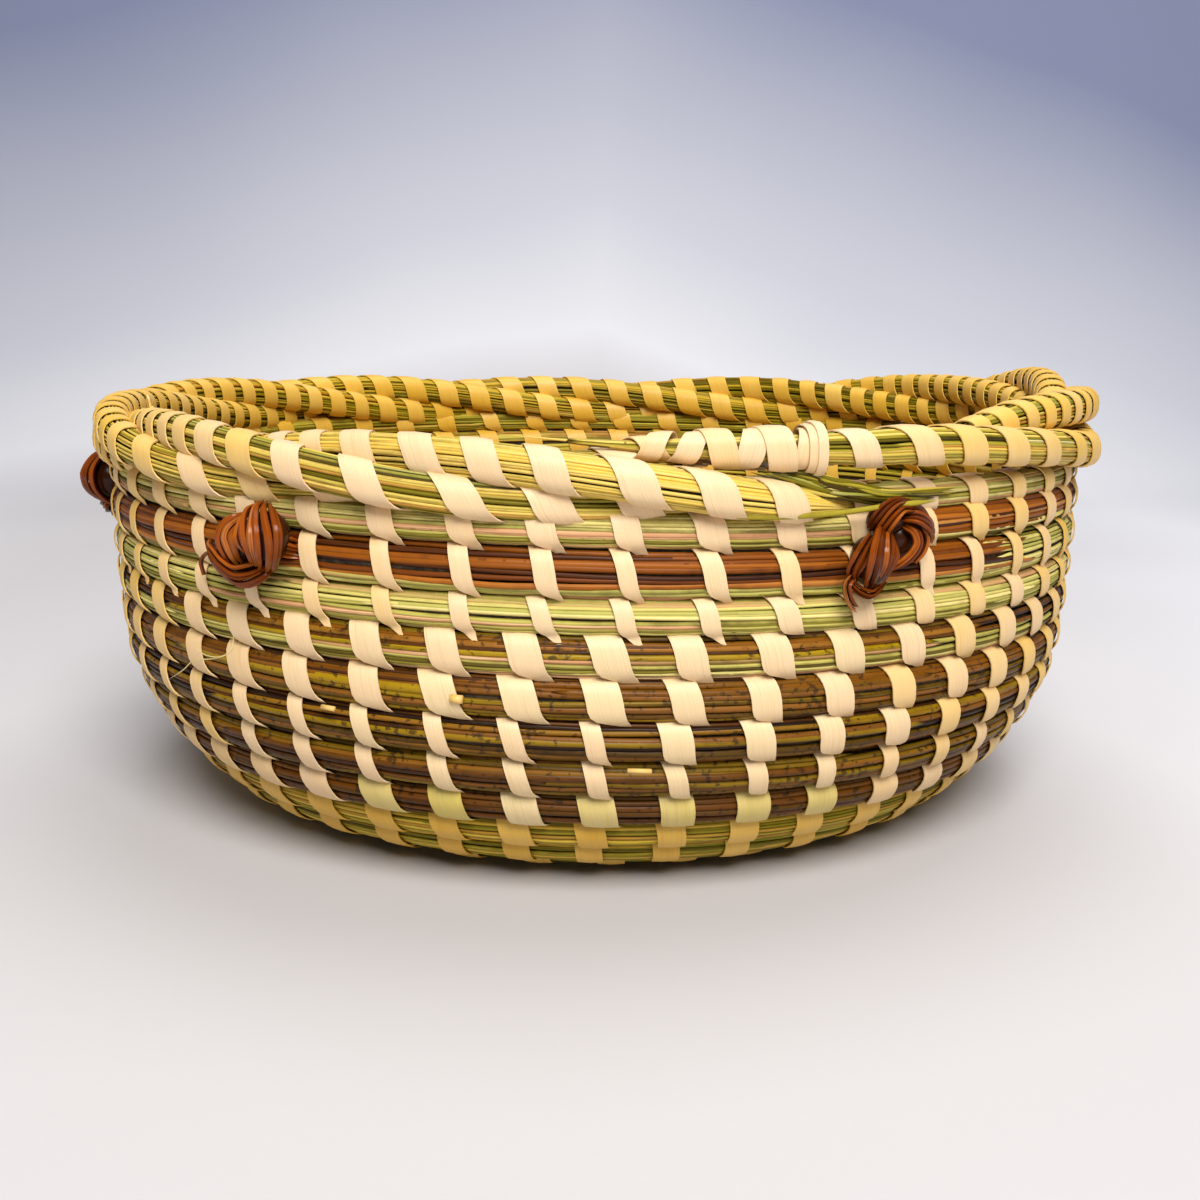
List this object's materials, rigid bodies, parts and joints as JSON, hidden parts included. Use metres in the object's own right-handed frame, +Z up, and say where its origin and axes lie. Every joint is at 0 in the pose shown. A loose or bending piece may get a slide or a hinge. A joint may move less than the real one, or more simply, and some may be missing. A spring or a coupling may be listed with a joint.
{
  "type": "coiled sweetgrass basket",
  "caption": "Round bowl-shaped basket of coiled grass, with dark bands, palm-strip stitches, pine-needle knots on its outside and a twisted rim.",
  "frame": {"origin": "middle of the flat underside, on the surface that the basket stands on", "axes": "+Z up; -Y is the side that the picture shows, with +X at its right"},
  "size_m": [0.3051, 0.2967, 0.1255],
  "materials": {
    "sweetgrass": "dry split grass stems, satin",
    "pale_sweetgrass": "pale green dry grass stems, satin",
    "bulrush": "golden to dark brown bulrush stems, satin",
    "mixed_stems": "bulrush and grass stems mixed, satin",
    "pine_needles": "red-brown longleaf pine needles, slightly glossy",
    "palm_strip": "cream palm leaf strip, smooth satin"
  },
  "bodies": {
    "root": {"start_knot": "sweetgrass", "base_coil": "sweetgrass", "lower_sweetgrass_coil": "sweetgrass", "lower_bulrush_coil": "bulrush", "upper_bulrush_coil": "bulrush", "mixed_stem_coil": "mixed_stems", "pale_sweetgrass_coil": "pale_sweetgrass", "pine_needle_coil": "pine_needles", "top_sweetgrass_coil": "pale_sweetgrass", "pine_row_palm_strip": "palm_strip", "rim_strand_a": "sweetgrass", "rim_strand_b": "sweetgrass", "rim_strand_c": "sweetgrass", "rim_end_binding": "palm_strip", "pine_needle_knot_left": "pine_needles", "pine_needle_knot_front_left": "pine_needles", "pine_needle_knot_front_right": "pine_needles"}
  },
  "joints": []
}
